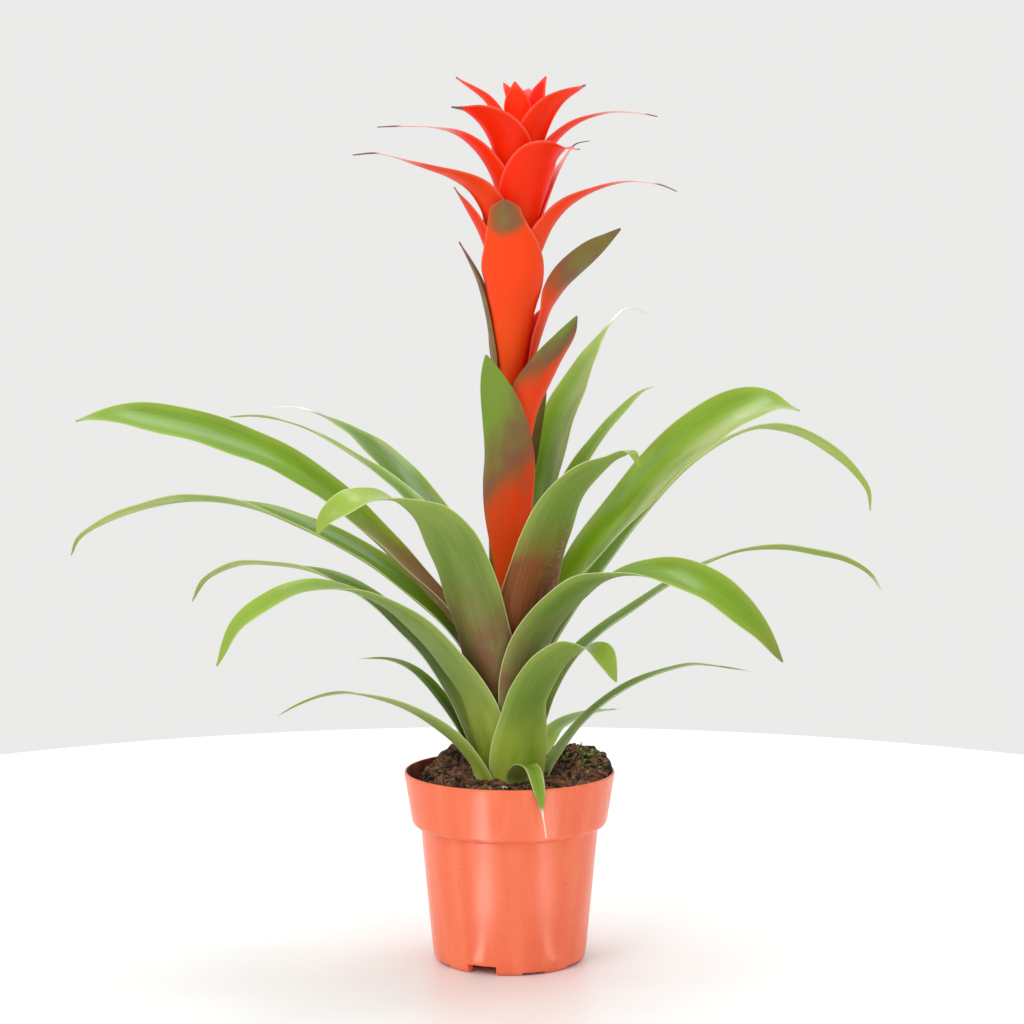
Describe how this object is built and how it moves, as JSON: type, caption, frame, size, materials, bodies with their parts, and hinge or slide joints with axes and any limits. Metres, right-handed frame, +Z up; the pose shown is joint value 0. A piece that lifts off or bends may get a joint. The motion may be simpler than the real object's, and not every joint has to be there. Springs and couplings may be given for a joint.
{
  "type": "potted bromeliad",
  "caption": "Living bromeliad with a rosette of arching strap leaves and an upright scarlet bract spike, growing in a round tapered plant pot with a broad rim band.",
  "frame": {"origin": "centre of the pot's foot, on the surface that the pot stands on", "axes": "+Z up along the pot's axis and the plant's stem; -Y faces the viewer of the picture; +X to the viewer's right"},
  "size_m": [0.4932, 0.3191, 0.4993],
  "materials": {
    "pot": "satin moulded polypropylene",
    "soil": "rough moist peat with bark chips",
    "stem": "smooth green stalk",
    "leaf": "satin waxy leaf",
    "leafy_bract": "satin leaf, green running into orange-red",
    "scarlet_bract": "satin waxy scarlet bract"
  },
  "bodies": {
    "root": {"pot": "pot", "soil": "soil", "stem": "stem", "leaf_01": "leaf", "leaf_02": "leaf", "leaf_03": "leaf", "leaf_04": "leaf", "leaf_05": "leaf", "leaf_06": "leaf", "leaf_07": "leaf", "leaf_08": "leaf", "leaf_09": "leaf", "leaf_10": "leaf", "leaf_11": "leaf", "leaf_12": "leaf", "leaf_13": "leaf", "leaf_14": "leaf", "leaf_15": "leaf", "leaf_16": "leaf", "leaf_17": "leaf", "leaf_18": "leaf", "leaf_19": "leaf", "leaf_20": "leaf", "leaf_21": "leaf", "leaf_22": "leaf", "leaf_23": "leaf", "bract_01": "leafy_bract", "bract_02": "leafy_bract", "bract_03": "leafy_bract", "bract_04": "leafy_bract", "bract_05": "leafy_bract", "bract_06": "leafy_bract", "bract_07": "leafy_bract", "bract_08": "scarlet_bract", "bract_09": "leafy_bract", "bract_10": "leafy_bract", "bract_11": "scarlet_bract", "bract_12": "scarlet_bract", "bract_13": "scarlet_bract", "bract_14": "scarlet_bract", "bract_15": "scarlet_bract", "bract_16": "scarlet_bract", "bract_17": "scarlet_bract", "bract_18": "scarlet_bract", "bract_19": "scarlet_bract", "bract_20": "scarlet_bract", "bract_21": "scarlet_bract", "bract_22": "scarlet_bract", "bract_23": "scarlet_bract", "bract_24": "scarlet_bract", "bract_25": "scarlet_bract"}
  },
  "joints": []
}
